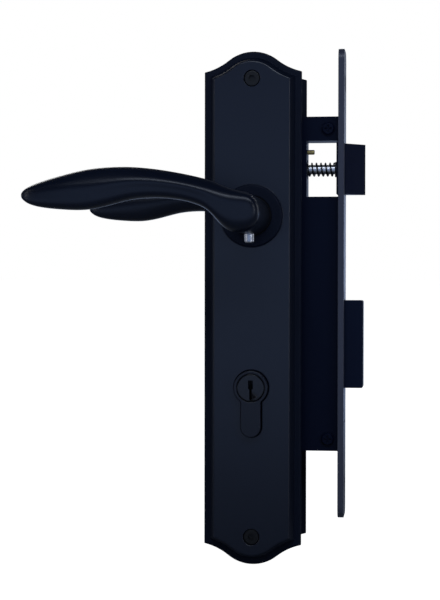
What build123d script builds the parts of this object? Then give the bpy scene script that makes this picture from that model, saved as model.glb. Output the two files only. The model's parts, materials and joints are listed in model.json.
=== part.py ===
from build123d import *
from math import asin, cos, pi, radians, sin, sqrt
import os

os.makedirs("parts", exist_ok=True)

# Door lockset for a profile cylinder, in millimetres
# X points to the forend, Y through the door from the front plate to the rear one, Z up
# The origin is on the spindle's axis, halfway through the lock case

# Driving sizes of the door and the lock
DOOR = 35.0             # thickness of the door leaf between the two plates
BACKSET = 45.0          # from the forend's outer face back to the spindle
CENTRES = 85.0          # from the spindle down to the key cylinder
SHEET = 1.5             # steel of the case
RUN = 0.05              # radial clearance of a shaft in its bore
GAP = 0.15              # clearance of a sliding piece in its opening
SEAT = 0.02             # clearance of a piece that is fixed in its hole

# Backplate
PLATE_W = 48.6
PLATE_TOP = 82.0
PLATE_BELOW = 89.0      # from the key cylinder's axis down to the plate's end
PLATE_D = 8.5           # from the door to the raised panel
PLATE_WALL = 2.2
RIM_T = 2.5
RIM_BEVEL = 0.7
FLANGE_W = 3.2          # flat step outside the raised panel
SLOPE_W = 2.0           # run of the wall that rises to the panel
PANEL_BEVEL = 0.5
DOME_R = 19.5
DOME_TURN = 38.5        # degrees of the dome to each side before it turns into the shoulder
SHOULDER_R = 30.0
BOSS_R = 15.5
BOSS_H = 2.0
BOSS_BEVEL = 0.6

# Plate screws and their sleeve nuts
SCREW_TOP = 68.0
SCREW_BELOW = 74.4      # from the key cylinder's axis down to the lower screw
SCREW_R = 2.5
SCREW_HEAD_R = 3.85
SCREW_HEAD_T = 1.9
SCREW_END = 15.0        # how far past the middle of the door a screw reaches
SOCKET_AF = 3.0
SOCKET_D = 1.3
RECESS_D = 2.3
SLEEVE_R = 3.2
SLEEVE_L = 27.0
POST_WALL = 2.4

# Lever
NECK_R = 9.5
NECK_GAP = 0.4
BLADE_OUT = 62.0        # from the door to the middle of the blade
LEVER_REACH = 103.3     # from the spindle to the tip
SPIGOT_R = 8.0
SPIGOT_BACK = 0.2       # from the door to the spigot's end
SPINDLE = 8.0
SPINDLE_L = 100.0
SQUARE_GAP = 0.05
SOCKET_END = 37.0       # from the door to the bottom of the square hole
GRUB_R = 2.5
GRUB_AT = 19.5          # from the door to the grub screw
GRUB_OUT = 13.6         # from the spindle's axis to the grub screw's outer end
GRUB_HEX = 2.5
GRUB_HEX_D = 1.6

# Bush, collar, spring and circlip at each plate
BUSH_R = 10.0
CLIP_T = 0.6
CLIP_R = 9.6
CLIP_DEPTH = 0.8
CLIP_BACK = 0.4
CLIP_MOUTH = 8.0
COLLAR_T = 1.0
COLLAR_R = 13.4
HUB_R = 9.3
KEY_W = 2.4
KEY_D = 1.0
SPIRAL_T = 0.7
SPIRAL_PITCH = 1.4
SPIRAL_TURNS = 2
SPIRAL_GAP = 0.25
HOOK_L = 1.6            # how far the spring's outer end reaches into its anchor
ANCHOR_L = 2.6
ANCHOR_H = 4.0

# Lock case
CASE_T = 15.0
CASE_TOP = 50.5
CASE_BELOW = 33.0       # from the key cylinder's axis down to the case's end
CASE_L = 67.0           # from the forend's back to the case's back
CASE_ROUND = 2.0
POST_R = 3.0
POST_FRONT_IN = 5.2     # from the forend's back to the front posts
POST_BACK_IN = 5.5      # from the case's back to the rear posts
POST_EDGE = 6.1         # from the case's top and bottom to a post
POST_MID = 12.0         # from the bolt tail's top edge up to the middle post
COVER_SCREW_R = 1.6
COVER_HEAD_R = 3.2
COVER_HEAD_T = 1.7
CROSS_W = 0.9
CROSS_L = 3.6
CROSS_D = 0.9

# Forend
FOREND_T = 3.0
FOREND_W = 24.0
FOREND_TOP = 84.4
FOREND_BELOW = 66.6     # from the key cylinder's axis down to the forend's end
FOREND_ROUND = 5.5
WOOD_SCREW_TOP = 67.7
WOOD_SCREW_BELOW = 50.3 # from the key cylinder's axis down to the lower wood screw
WOOD_SCREW_R = 2.4
WOOD_SCREW_HEAD_R = 4.6
SINK_ANGLE = 90.0
RIVET_R = 1.9

# Latch
LATCH_Z = 24.3
LATCH_H = 25.5
LATCH_T = 11.6
LATCH_OUT = 10.1
LATCH_NOSE = 1.4
LATCH_CHEEK = 0.4       # how far the square part stands out of the forend
LATCH_ROUND = 0.5
FLANGE_T = 1.0
FLANGE_OVER = 0.6       # how far the flange stands past the latch above and below
FLANGE_CUT = 0.8
WASHER_R = 3.9
WASHER_T = 0.9
LATCH_TRAVEL = 11.0
ROD_R = 2.4
ROD_IN = 6.0            # how deep the rod sits in the latch
WINDOW_L = 16.0
WINDOW_H = 28.1
STOP_PIN_R = 1.2
STOP_PIN_UP = 8.8       # from the rod's axis up to the stop pin
SPRING_WIRE = 0.8
WIRE_SIDES = 8          # flats that stand for the round wire
SPRING_R = 3.2
SPRING_TURNS = 6.5
COIL_LEAD = 1.2         # how far the wire climbs from its straight end to the first coil
SPRING_HOLE_R = 4.9
BRACKET_X = 21.0
BRACKET_T = 1.5
BRACKET_H = 14.0
BRACKET_FOOT = 9.0

# Follower and carrier
FOLLOWER_R = 12.0
JOURNAL_R = 9.0
ARM_R = 16.1            # from the spindle to the middle of the arm's nose
ARM_W = 3.2
ARM_T = 8.0
NOSE_R = 2.5
LEVER_TURN = 40.0
CARRIER_L = 4.0
CARRIER_BOTTOM = 13.3
CARRIER_TOP = 29.0
NUT_AF = 8.0
NUT_T = 2.4
ROD_PAST = 1.4

# Deadbolt
BOLT_UP = 20.9          # from the key cylinder's axis up to the middle of the deadbolt
BOLT_H = 44.2
BOLT_T = 11.6
BOLT_OUT = 9.5
BOLT_L = 29.6
BOLT_ROUND = 1.0
THROW = 9.5
TAIL_T = 3.0
TAIL_H = 21.2
CAM_PASS = 0.8          # gap between the tail and the cam's tooth as it passes below
TAIL_BACK = -13.0
TAIL_IN = 9.0
TAIL_ROUND = 2.0
NOTCH_W = 6.5
NOTCH_D = 6.0
GUIDE_X = 5.0
GUIDE_DOWN = 6.0        # from the tail's top edge down to its slot
GUIDE_R = 2.5
GUIDE_COLLAR_R = 4.5
BOLT_RIVET_R = 2.0
LEAF_T = 0.8
LEAF_W = 6.0
LEAF_HOOK = 48.0        # degrees round the post at which the leaf spring leaves it
LEAF_END = 12.0
LEAF_UP = 4.5
CLICK_L = 3.0
CLICK_H = 1.7

# Profile cylinder
CYL_R = 8.5
CYL_H = 33.0
CYL_LOBE_W = 10.0
CYL_L = 60.0
CYL_GAP = 0.25
PLUG_R = 6.85
PLUG_END = 5.0
CAM_R = 15.0
CAM_RING_R = 8.3
CAM_T = 9.8
CAM_TOOTH_W = 7.5
CAM_PARK = 30.0         # degrees from straight down where the cam rests with the key out
CAM_ROOM = 0.4
CLUTCH_R = 3.9
CLUTCH_SHORT = 0.4      # how far the clutch stops short of the rear plug
RING_T = 0.9
RING_R = 8.2
RING_GROOVE = 1.0
RING_MOUTH = 9.0
KEYWAY_W = 2.4
KEYWAY_SLIT = 1.2
KEYWAY_UP = 3.8
KEYWAY_STEP = -0.6
KEYWAY_DOWN = -5.6
KEYWAY_D = 22.0
FIX_SCREW_DOWN = 18.6   # from the plug's axis down to the fixing screw
FIX_SCREW_R = 2.5
FIX_SCREW_HEAD_R = 4.4
FIX_SCREW_IN = 4.6      # how far past the cylinder's middle the screw reaches
SLOT_W = 1.0
SLOT_D = 1.0

# Places that follow from the sizes above
HALF_DOOR = DOOR / 2
FOREND_BACK = BACKSET - FOREND_T
CASE_BACK = FOREND_BACK - CASE_L
INSIDE = CASE_T / 2 - SHEET          # half the room inside the case
WINDOW_BACK = FOREND_BACK - WINDOW_L
FLANGE_BACK = FOREND_BACK - GAP - FLANGE_T
FIX_SCREW_Z = -CENTRES - FIX_SCREW_DOWN
PLATE_BOTTOM = -CENTRES - PLATE_BELOW
SCREW_BOTTOM = -CENTRES - SCREW_BELOW
CASE_H = CASE_TOP + CENTRES + CASE_BELOW
FOREND_L = FOREND_TOP + CENTRES + FOREND_BELOW
WOOD_SCREW_BOTTOM = -CENTRES - WOOD_SCREW_BELOW
BOLT_Z = -CENTRES + BOLT_UP
TAIL_BOTTOM = -CENTRES + CAM_R + CAM_PASS
TAIL_TOP = TAIL_BOTTOM + TAIL_H
GUIDE_Z = TAIL_TOP - GUIDE_DOWN
POST_FRONT_X = FOREND_BACK - POST_FRONT_IN
POST_BACK_X = CASE_BACK + POST_BACK_IN
POST_TOP_Z = CASE_TOP - POST_EDGE
POST_MID_Z = TAIL_TOP + POST_MID
POST_BOTTOM_Z = CASE_TOP - CASE_H + POST_EDGE
SPIRAL_R = HUB_R + SPIRAL_GAP + SPIRAL_T / 2
SPIRAL_END = SPIRAL_R + SPIRAL_PITCH * SPIRAL_TURNS
ANCHOR_IN = SPIRAL_END + SPIRAL_T / 2 + SPIRAL_GAP
CLIP_AT = SPIGOT_BACK + CLIP_BACK + CLIP_T      # from the door to the circlip's inner face
COLLAR_AT = CLIP_AT + COLLAR_T                  # and to the collar's flange
POSTS = [
    (POST_FRONT_X, POST_TOP_Z),
    (POST_FRONT_X, POST_BOTTOM_Z),
    (POST_BACK_X, POST_TOP_Z),
    (POST_BACK_X, POST_MID_Z),
    (POST_BACK_X, POST_BOTTOM_Z),
]


def facing(y):
    """Plane across the door at depth y, seen from the front: x to the forend, y up"""
    return Plane(origin=(0, y, 0), x_dir=(1, 0, 0), z_dir=(0, -1, 0))


def off_door(height):
    """Plane in front of the door leaf, at a height above its front face"""
    return facing(-HALF_DOOR - height)


def keep(piece, name):
    """Label a finished piece and write it to its own file"""
    piece.part.label = name
    export_step(piece.part, f"parts/{name}.step")


def keep_rear(piece, name):
    """Write the like piece of the rear side, which mirrors the front one"""
    with BuildPart() as rear:
        mirror(piece.part, about=Plane.XZ)
    keep(rear, name)


def plate_face(inset):
    """Ogee-ended outline of the plate, drawn inset from its edge"""
    half = PLATE_W / 2 - inset
    dome, shoulder, turn = DOME_R - inset, SHOULDER_R + inset, radians(DOME_TURN)
    crown = PLATE_TOP - DOME_R
    hip_x = (DOME_R + SHOULDER_R) * sin(turn)
    hip_z = crown + (DOME_R + SHOULDER_R) * cos(turn)
    end = asin((hip_x - half) / shoulder)
    middle = (PLATE_TOP + PLATE_BOTTOM) / 2

    def on_shoulder(angle):
        return hip_x - shoulder * sin(angle), hip_z - shoulder * cos(angle)

    start, corner = on_shoulder(turn), on_shoulder(end)
    with BuildSketch() as outline:
        with BuildLine():
            ThreePointArc(start, on_shoulder((turn + end) / 2), corner)
            Line(corner, (corner[0], middle))
            mirror(about=Plane.YZ)
            ThreePointArc((-start[0], start[1]), (0, crown + dome), start)
            mirror(about=Plane(origin=(0, middle, 0), z_dir=(0, 1, 0)))
        make_face()
    return outline.sketch


def euro_face(grow):
    """Profile cylinder's outline, drawn larger all round by grow"""
    drop = CYL_H - CYL_R - CYL_LOBE_W / 2
    with BuildSketch() as outline:
        with Locations((0, -CENTRES)):
            Circle(CYL_R + grow)
        with Locations((0, -CENTRES - drop / 2)):
            Rectangle(CYL_LOBE_W + 2 * grow, drop)
        with Locations((0, -CENTRES - drop)):
            Circle(CYL_LOBE_W / 2 + grow)
    return outline.sketch


# Backplate, a hollow casting that stands on the door on its rim
POCKET = PLATE_D - PLATE_WALL
with BuildPart() as front_backplate:
    with BuildSketch(off_door(0)):
        add(plate_face(0))
    extrude(amount=RIM_T)
    chamfer(front_backplate.faces().sort_by(Axis.Y)[0].edges(), RIM_BEVEL)
    with BuildSketch(off_door(RIM_T)):
        add(plate_face(FLANGE_W))
    with BuildSketch(off_door(PLATE_D)):
        add(plate_face(FLANGE_W + SLOPE_W))
    loft(ruled=True)
    chamfer(front_backplate.faces().sort_by(Axis.Y)[0].edges(), PANEL_BEVEL)
    with BuildSketch(off_door(0)):
        add(plate_face(FLANGE_W + SLOPE_W + PLATE_WALL - PANEL_BEVEL))
    extrude(amount=POCKET, mode=Mode.SUBTRACT)
    with BuildSketch(off_door(0)):
        with Locations((0, SCREW_TOP), (0, SCREW_BOTTOM)):
            Circle(SLEEVE_R + POST_WALL)
        add(euro_face(CYL_GAP + PLATE_WALL))
    extrude(amount=POCKET)
    with BuildSketch(off_door(POCKET)):
        with Locations((ANCHOR_IN, 0)):
            Rectangle(ANCHOR_L, ANCHOR_H, align=(Align.MIN, Align.CENTER))
            Rectangle(HOOK_L + SPIRAL_GAP, SPIRAL_T + 2 * SPIRAL_GAP,
                      align=(Align.MIN, Align.CENTER), mode=Mode.SUBTRACT)
    extrude(amount=-(POCKET - COLLAR_AT - SPIRAL_GAP))
    with BuildSketch(off_door(PLATE_D)):
        Circle(BOSS_R)
    extrude(amount=BOSS_H)
    chamfer(front_backplate.faces().sort_by(Axis.Y)[0].edges(), BOSS_BEVEL)
    with BuildSketch(off_door(0)):
        Circle(BUSH_R + SEAT)
        add(euro_face(CYL_GAP))
        with Locations((0, SCREW_TOP), (0, SCREW_BOTTOM)):
            Circle(SLEEVE_R + GAP)
    extrude(amount=PLATE_D + BOSS_H, mode=Mode.SUBTRACT)
    with BuildSketch(off_door(PLATE_D)):
        with Locations((0, SCREW_TOP), (0, SCREW_BOTTOM)):
            Circle(SCREW_HEAD_R + GAP)
    extrude(amount=-RECESS_D, mode=Mode.SUBTRACT)
keep(front_backplate, "front_backplate")
keep_rear(front_backplate, "rear_backplate")


# Through-screws of the plates, with their heads sunk in the front one
SCREW_SEAT = PLATE_D - RECESS_D
with BuildPart() as plate_screws:
    with BuildSketch(off_door(SCREW_SEAT)):
        with Locations((0, SCREW_TOP), (0, SCREW_BOTTOM)):
            Circle(SCREW_HEAD_R)
    extrude(amount=SCREW_HEAD_T)
    with BuildSketch(off_door(SCREW_SEAT)):
        with Locations((0, SCREW_TOP), (0, SCREW_BOTTOM)):
            Circle(SCREW_R)
    extrude(amount=-(SCREW_SEAT + HALF_DOOR + SCREW_END))
    with BuildSketch(off_door(SCREW_SEAT + SCREW_HEAD_T)):
        with Locations((0, SCREW_TOP), (0, SCREW_BOTTOM)):
            RegularPolygon(SOCKET_AF / 2, 6, major_radius=False)
    extrude(amount=-SOCKET_D, mode=Mode.SUBTRACT)
keep(plate_screws, "plate_screws")


# Sleeve nuts that the screws go into, with their heads sunk in the rear plate
with BuildPart() as sleeve_nuts:
    with BuildSketch(facing(HALF_DOOR + SCREW_SEAT)):
        with Locations((0, SCREW_TOP), (0, SCREW_BOTTOM)):
            Circle(SCREW_HEAD_R)
    extrude(amount=-SCREW_HEAD_T)
    with BuildSketch(facing(HALF_DOOR + SCREW_SEAT)):
        with Locations((0, SCREW_TOP), (0, SCREW_BOTTOM)):
            Circle(SLEEVE_R)
    extrude(amount=SLEEVE_L)
    with BuildSketch(facing(HALF_DOOR + SCREW_SEAT - SLEEVE_L)):
        with Locations((0, SCREW_TOP), (0, SCREW_BOTTOM)):
            Circle(SCREW_R + SEAT)
    extrude(amount=-(SLEEVE_L - SCREW_HEAD_T), mode=Mode.SUBTRACT)
    with BuildSketch(facing(HALF_DOOR + SCREW_SEAT + SCREW_HEAD_T)):
        with Locations((0, SCREW_TOP), (0, SCREW_BOTTOM)):
            RegularPolygon(SOCKET_AF / 2, 6, major_radius=False)
    extrude(amount=SOCKET_D, mode=Mode.SUBTRACT)
keep(sleeve_nuts, "sleeve_nuts")


# Bush that the lever turns in, pressed into the plate
with BuildPart() as front_bush:
    with BuildSketch(off_door(POCKET)):
        Circle(BUSH_R)
        Circle(SPIGOT_R + RUN, mode=Mode.SUBTRACT)
    extrude(amount=PLATE_WALL + BOSS_H)
keep(front_bush, "front_lever_bush")
keep_rear(front_bush, "rear_lever_bush")


# Lever: a round neck with a blade across its end
NECK_START = PLATE_D + BOSS_H + NECK_GAP    # from the door to the neck's end on the boss
# Sections of the blade's root: distance from the spindle, height of the middle, half the
# height and half the thickness
ROOT_SECTIONS = [
    (0.0, 0.0, NECK_R, 7.0),
    (3.5, 0.75, 10.25, 7.0),
    (9.0, 4.0, 9.0, 7.0),
    (15.5, 8.2, 6.8, 7.0),
    (24.0, 11.0, 6.1, 6.8),
]
# Sections of its leaf, which have their distance from the tip first
LEAF_SECTIONS = [
    (65.3, 13.1, 6.5, 6.6),
    (52.3, 13.3, 7.55, 6.5),
    (41.3, 11.8, 8.9, 6.3),
    (31.3, 10.4, 9.35, 5.9),
    (20.3, 9.3, 8.0, 5.2),
    (10.3, 8.4, 6.1, 4.1),
    (4.0, 8.0, 4.1, 2.9),
    (1.0, 8.0, 2.05, 1.6),
    (0.1, 8.0, 0.65, 0.6),
]
BLADE_SECTIONS = ROOT_SECTIONS + [(LEVER_REACH - back, *sizes) for back, *sizes in LEAF_SECTIONS]
# How far each section has turned from the neck's rounded form into the crested one
CREST_SHARE = [0.0, 0.1, 0.4, 0.9, 1.0, 1.0, 1.0, 1.0, 0.9, 0.7, 0.5, 0.3, 0.2, 0.1]
# Corners of both forms, in half thicknesses outward and half heights up
ROUND = [(0.0, -1.0), (0.83, -0.85), (1.0, 0.0), (0.83, 0.85),
         (0.0, 1.0), (-0.83, 0.85), (-1.0, 0.0), (-0.83, -0.85)]
CREST = [(0.0, -1.0), (0.72, -0.84), (1.0, -0.25), (0.9, 0.45),
         (0.25, 1.0), (-0.55, 0.78), (-0.98, 0.05), (-0.7, -0.75)]


def blade_section(reach, middle, half_h, half_t, share):
    """Closed outline of the blade, square to the way from its root to its tip"""
    plane = Plane(origin=(-reach, -HALF_DOOR - BLADE_OUT, middle), x_dir=(0, -1, 0), z_dir=(-1, 0, 0))
    corners = [(half_t * (share * crest[0] + (1 - share) * plain[0]),
                half_h * (share * crest[1] + (1 - share) * plain[1])) for plain, crest in zip(ROUND, CREST)]
    with BuildSketch(plane) as outline:
        with BuildLine():
            Spline(*corners, periodic=True)
        make_face()
    return outline.sketch


BLADE = [blade_section(*sizes, share) for sizes, share in zip(BLADE_SECTIONS, CREST_SHARE)]
ROOT_TOP = split(BLADE[0], bisect_by=Plane.XY)
with BuildPart() as front_lever:
    with BuildSketch(off_door(NECK_START)):
        Circle(NECK_R)
    extrude(amount=BLADE_OUT - NECK_START)
    revolve(ROOT_TOP, axis=Axis.Y, revolution_arc=180)
    loft(sections=BLADE)
    with BuildSketch(off_door(SPIGOT_BACK)):
        Circle(SPIGOT_R)
    extrude(amount=NECK_START - SPIGOT_BACK)
    with BuildSketch(off_door(SPIGOT_BACK + CLIP_BACK)):
        Circle(SPIGOT_R)
        Circle(SPIGOT_R - CLIP_DEPTH, mode=Mode.SUBTRACT)
    extrude(amount=CLIP_T + SEAT, mode=Mode.SUBTRACT)
    with BuildSketch(off_door(SPIGOT_BACK)):
        with Locations((0, SPIGOT_R)):
            Rectangle(KEY_W + 2 * SEAT, 2 * KEY_D)
    extrude(amount=COLLAR_AT, mode=Mode.SUBTRACT)
    with BuildSketch(off_door(SPIGOT_BACK)):
        Rectangle(SPINDLE + 2 * SQUARE_GAP, SPINDLE + 2 * SQUARE_GAP)
    extrude(amount=SOCKET_END - SPIGOT_BACK, mode=Mode.SUBTRACT)
    with BuildSketch(Plane(origin=(0, -HALF_DOOR - GRUB_AT, 0), z_dir=(0, 0, -1))):
        Circle(GRUB_R + SEAT)
    extrude(amount=NECK_R, mode=Mode.SUBTRACT)
keep(front_lever, "front_lever")
keep_rear(front_lever, "rear_lever")


# Grub screw that holds the lever to the spindle, standing proud below the neck
with BuildPart() as front_grub_screw:
    with BuildSketch(Plane(origin=(0, -HALF_DOOR - GRUB_AT, -SPINDLE / 2), z_dir=(0, 0, -1))):
        Circle(GRUB_R)
    extrude(amount=GRUB_OUT - SPINDLE / 2)
    chamfer(front_grub_screw.faces().sort_by(Axis.Z)[0].edges(), GRUB_R / 4)
    with BuildSketch(front_grub_screw.faces().sort_by(Axis.Z)[0]):
        RegularPolygon(GRUB_HEX / 2, 6, major_radius=False)
    extrude(amount=-GRUB_HEX_D, mode=Mode.SUBTRACT)
keep(front_grub_screw, "front_grub_screw")
keep_rear(front_grub_screw, "rear_grub_screw")


# Square spindle through both levers and the follower
with BuildPart() as spindle:
    with BuildSketch(facing(SPINDLE_L / 2)):
        Rectangle(SPINDLE, SPINDLE)
    extrude(amount=SPINDLE_L)
    chamfer(spindle.faces().sort_by(Axis.Y)[0].edges(), SPINDLE / 16)
    chamfer(spindle.faces().sort_by(Axis.Y)[-1].edges(), SPINDLE / 16)
keep(spindle, "spindle")


# Collar that turns with the lever and winds its spring
with BuildPart() as front_collar:
    with BuildSketch(off_door(CLIP_AT)):
        Circle(COLLAR_R)
        Circle(SPIGOT_R + SEAT, mode=Mode.SUBTRACT)
        with Locations((0, SPIGOT_R - KEY_D / 2)):
            Rectangle(KEY_W, KEY_D)
    extrude(amount=COLLAR_T)
    with BuildSketch(off_door(COLLAR_AT)):
        Circle(HUB_R)
        Circle(SPIGOT_R + SEAT, mode=Mode.SUBTRACT)
        with Locations((HUB_R, 0)):
            Rectangle(2 * SPIRAL_GAP + 2 * (HUB_R - SPIGOT_R), SPIRAL_T + 2 * SPIRAL_GAP,
                      mode=Mode.SUBTRACT)
    extrude(amount=POCKET - COLLAR_AT - SPIRAL_GAP)
keep(front_collar, "front_return_collar")
keep_rear(front_collar, "rear_return_collar")


# Return spring, a flat strip wound round the collar, hooked to it and to the plate
def half_turns(radius, count):
    """Half circles of a spiral that grows by half its pitch at each, from the +x side"""
    for i in range(count):
        shift = SPIRAL_PITCH / 2 * (i % 2)
        yield shift, radius + SPIRAL_PITCH / 2 * i, 180 * (i % 2)


with BuildPart() as front_spring:
    with BuildSketch(off_door(COLLAR_AT + SPIRAL_GAP)):
        for centre, radius, start in half_turns(SPIRAL_R, 2 * SPIRAL_TURNS):
            with BuildLine():
                outer = CenterArc((centre, 0), radius + SPIRAL_T / 2, start, 180)
                inner = CenterArc((centre, 0), radius - SPIRAL_T / 2, start, 180)
                Line(outer @ 0, inner @ 0)
                Line(outer @ 1, inner @ 1)
            make_face()
        with Locations((SPIGOT_R + SPIRAL_GAP, 0)):
            Rectangle(SPIRAL_R - SPIGOT_R - SPIRAL_GAP, SPIRAL_T, align=(Align.MIN, Align.CENTER))
        with Locations((SPIRAL_END, 0)):
            Rectangle(ANCHOR_IN + HOOK_L - SPIRAL_END, SPIRAL_T, align=(Align.MIN, Align.CENTER))
    extrude(amount=POCKET - COLLAR_AT - 3 * SPIRAL_GAP)
keep(front_spring, "front_return_spring")
keep_rear(front_spring, "rear_return_spring")


# Circlip that keeps the lever in its plate
with BuildPart() as front_circlip:
    with BuildSketch(off_door(SPIGOT_BACK + CLIP_BACK)):
        Circle(CLIP_R)
        Circle(SPIGOT_R - CLIP_DEPTH + SEAT, mode=Mode.SUBTRACT)
        Rectangle(CLIP_R, CLIP_MOUTH, align=(Align.MIN, Align.CENTER), mode=Mode.SUBTRACT)
    extrude(amount=CLIP_T)
keep(front_circlip, "front_circlip")
keep_rear(front_circlip, "rear_circlip")


# Lock case: a tray with folded walls, open to the front, with a window framed right through it
def window_face(grow):
    """Outline of the latch window, drawn larger at its back, top and bottom"""
    with BuildSketch() as outline:
        with Locations((FOREND_BACK, LATCH_Z)):
            Rectangle(WINDOW_L + grow, WINDOW_H + 2 * grow, align=(Align.MAX, Align.CENTER))
    return outline.sketch


def case_face(inset):
    """Outline of the case, drawn inset from its edge, with its two rear corners rounded"""
    with BuildSketch() as outline:
        with Locations((FOREND_BACK - CASE_L / 2, CASE_TOP - CASE_H / 2)):
            Rectangle(CASE_L - 2 * inset, CASE_H - 2 * inset)
        fillet(outline.vertices().group_by(Axis.X)[0], CASE_ROUND - inset / 2)
    return outline.sketch


with BuildPart() as case_tray:
    with BuildSketch(facing(CASE_T / 2)):
        add(case_face(0))
    extrude(amount=CASE_T - SHEET)
    with BuildSketch(facing(INSIDE)):
        add(case_face(SHEET))
    extrude(amount=CASE_T, mode=Mode.SUBTRACT)
    with BuildSketch(facing(INSIDE)):
        add(window_face(SHEET))
    extrude(amount=2 * INSIDE)
    with BuildSketch(facing(CASE_T / 2)):
        add(window_face(0))
        Circle(JOURNAL_R + RUN)
        add(euro_face(CYL_GAP))
    extrude(amount=CASE_T, mode=Mode.SUBTRACT)
    with BuildSketch(Plane.YZ.offset(FOREND_BACK)):
        with Locations((0, BOLT_Z)):
            Rectangle(2 * INSIDE, BOLT_H + 2 * GAP)
        with Locations((0, POST_TOP_Z), (0, POST_BOTTOM_Z)):
            Circle(RIVET_R + SEAT)
        with Locations((0, FIX_SCREW_Z)):
            Circle(FIX_SCREW_R + GAP)
    extrude(amount=-SHEET - GAP, mode=Mode.SUBTRACT)
    with BuildSketch(Plane.YZ.offset(WINDOW_BACK)):
        with Locations((0, LATCH_Z)):
            Circle(SPRING_HOLE_R)
        with Locations((0, LATCH_Z + STOP_PIN_UP)):
            Circle(STOP_PIN_R + SEAT)
    extrude(amount=-SHEET - GAP, mode=Mode.SUBTRACT)
keep(case_tray, "case_tray")


# Case cover, screwed to the posts
with BuildPart() as case_cover:
    with BuildSketch(facing(-INSIDE)):
        add(case_face(0))
        add(window_face(0), mode=Mode.SUBTRACT)
        Circle(JOURNAL_R + RUN, mode=Mode.SUBTRACT)
        add(euro_face(CYL_GAP), mode=Mode.SUBTRACT)
        with Locations(*POSTS):
            Circle(COVER_SCREW_R + GAP, mode=Mode.SUBTRACT)
    extrude(amount=SHEET)
keep(case_cover, "case_cover")


# Posts riveted to the tray's floor, tapped for the cover's screws
with BuildPart() as case_posts:
    with BuildSketch(facing(INSIDE)):
        with Locations(*POSTS):
            Circle(POST_R)
    extrude(amount=2 * INSIDE)
    with BuildSketch(facing(-INSIDE)):
        with Locations(*POSTS):
            Circle(COVER_SCREW_R + SEAT)
    extrude(amount=-INSIDE, mode=Mode.SUBTRACT)
keep(case_posts, "case_posts")


# Cover screws with cross recesses
with BuildPart() as cover_screws:
    with BuildSketch(facing(-CASE_T / 2)):
        with Locations(*POSTS):
            Circle(COVER_HEAD_R)
    extrude(amount=COVER_HEAD_T)
    chamfer(cover_screws.faces().sort_by(Axis.Y)[:len(POSTS)].edges(), COVER_HEAD_T / 3)
    with BuildSketch(facing(-CASE_T / 2)):
        with Locations(*POSTS):
            Circle(COVER_SCREW_R)
    extrude(amount=-(SHEET + INSIDE - 1))
    with BuildSketch(facing(-CASE_T / 2 - COVER_HEAD_T)):
        with Locations(*POSTS):
            Rectangle(CROSS_L, CROSS_W)
            Rectangle(CROSS_W, CROSS_L)
    extrude(amount=-CROSS_D, mode=Mode.SUBTRACT)
keep(cover_screws, "cover_screws")


# Forend, the plate that shows on the door's edge
with BuildPart() as forend:
    with BuildSketch(Plane.YZ.offset(FOREND_BACK)):
        with Locations((0, FOREND_TOP - FOREND_L / 2)):
            RectangleRounded(FOREND_W, FOREND_L, FOREND_ROUND)
        with Locations((0, LATCH_Z)):
            Rectangle(LATCH_T + 2 * GAP, LATCH_H + 2 * GAP, mode=Mode.SUBTRACT)
        with Locations((0, BOLT_Z)):
            Rectangle(BOLT_T + 2 * GAP, BOLT_H + 2 * GAP, mode=Mode.SUBTRACT)
        with Locations((0, POST_TOP_Z), (0, POST_BOTTOM_Z)):
            Circle(RIVET_R + SEAT, mode=Mode.SUBTRACT)
    extrude(amount=FOREND_T)
    with Locations(Plane.YZ.offset(BACKSET)):
        with Locations((0, WOOD_SCREW_TOP), (0, WOOD_SCREW_BOTTOM)):
            CounterSinkHole(WOOD_SCREW_R, WOOD_SCREW_HEAD_R, FOREND_T, SINK_ANGLE)
        with Locations((0, FIX_SCREW_Z)):
            CounterSinkHole(FIX_SCREW_R + GAP, FIX_SCREW_HEAD_R + GAP, FOREND_T, SINK_ANGLE)
keep(forend, "forend")


# Rivets that hold the forend to the case
with BuildPart() as forend_rivets:
    with BuildSketch(Plane.YZ.offset(BACKSET)):
        with Locations((0, POST_TOP_Z), (0, POST_BOTTOM_Z)):
            Circle(RIVET_R)
    extrude(amount=-FOREND_T - SHEET)
keep(forend_rivets, "forend_rivets")


# Follower, turned by the spindle, with the arm that draws the latch back
ARM_LEAN = LEVER_TURN / 2
ARM_TIP = (ARM_R * sin(radians(ARM_LEAN)), ARM_R * cos(radians(ARM_LEAN)))
with BuildPart() as follower:
    with BuildSketch(facing(CASE_T / 2 - GAP)):
        Circle(JOURNAL_R)
    extrude(amount=CASE_T - 2 * GAP)
    with BuildSketch(facing(INSIDE - 2 * GAP)):
        Circle(FOLLOWER_R)
    extrude(amount=2 * (INSIDE - 2 * GAP))
    with BuildSketch(facing(ARM_T / 2)):
        with Locations(Location((0, 0), -ARM_LEAN)):
            Rectangle(ARM_W, ARM_R, align=(Align.CENTER, Align.MIN))
        with Locations(ARM_TIP):
            Circle(NOSE_R)
    extrude(amount=ARM_T)
    with BuildSketch(facing(CASE_T / 2)):
        Rectangle(SPINDLE + 2 * SQUARE_GAP, SPINDLE + 2 * SQUARE_GAP)
    extrude(amount=CASE_T, mode=Mode.SUBTRACT)
keep(follower, "follower")


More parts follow.
